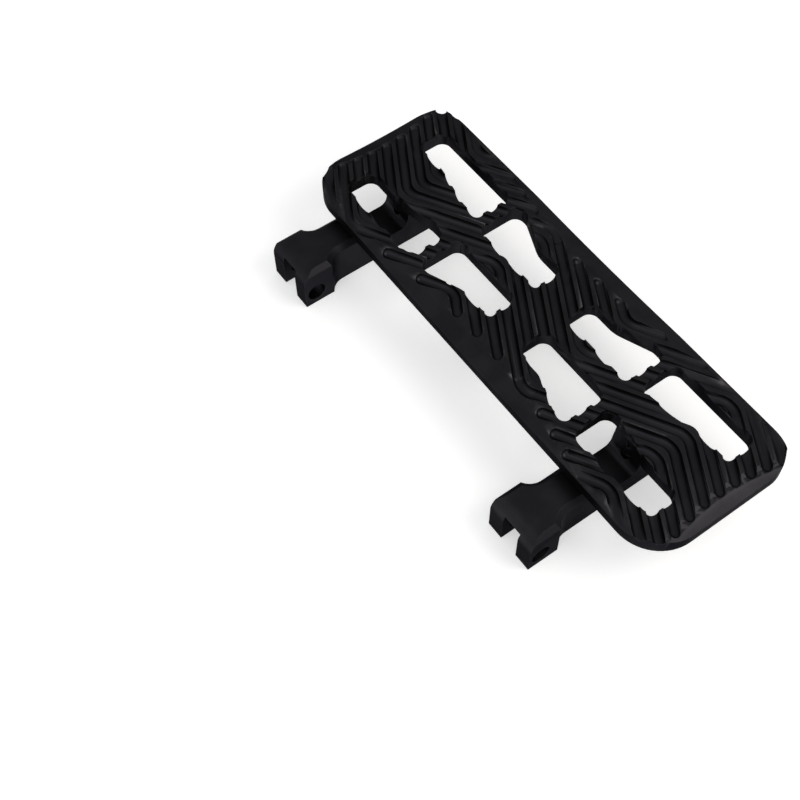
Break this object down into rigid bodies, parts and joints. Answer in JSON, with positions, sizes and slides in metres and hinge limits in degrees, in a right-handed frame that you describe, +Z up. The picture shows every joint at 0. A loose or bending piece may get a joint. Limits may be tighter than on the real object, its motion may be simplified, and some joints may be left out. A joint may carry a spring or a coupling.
{
  "type": "motorcycle floorboard",
  "caption": "Long billet foot platform with a zigzag grooved top, lightening windows, a bevelled rim and forked mounting arms beneath.",
  "frame": {"origin": "middle of the part in plan, at the flat bottom of the arms", "axes": "+X outboard, the arms point to -X; +Y forward along the plate; +Z up, out of the grooved top"},
  "size_m": [0.1644, 0.364, 0.0521],
  "materials": {
    "plate": "black anodised, satin, fine machining marks",
    "arm": "black anodised, satin",
    "screw": "black oxide, semi matt"
  },
  "bodies": {
    "root": {"board_plate": "plate", "front_arm": "arm", "rear_arm": "arm", "front_arm_screw_inboard": "screw", "front_arm_screw_outboard": "screw", "rear_arm_screw_inboard": "screw", "rear_arm_screw_outboard": "screw"}
  },
  "joints": []
}
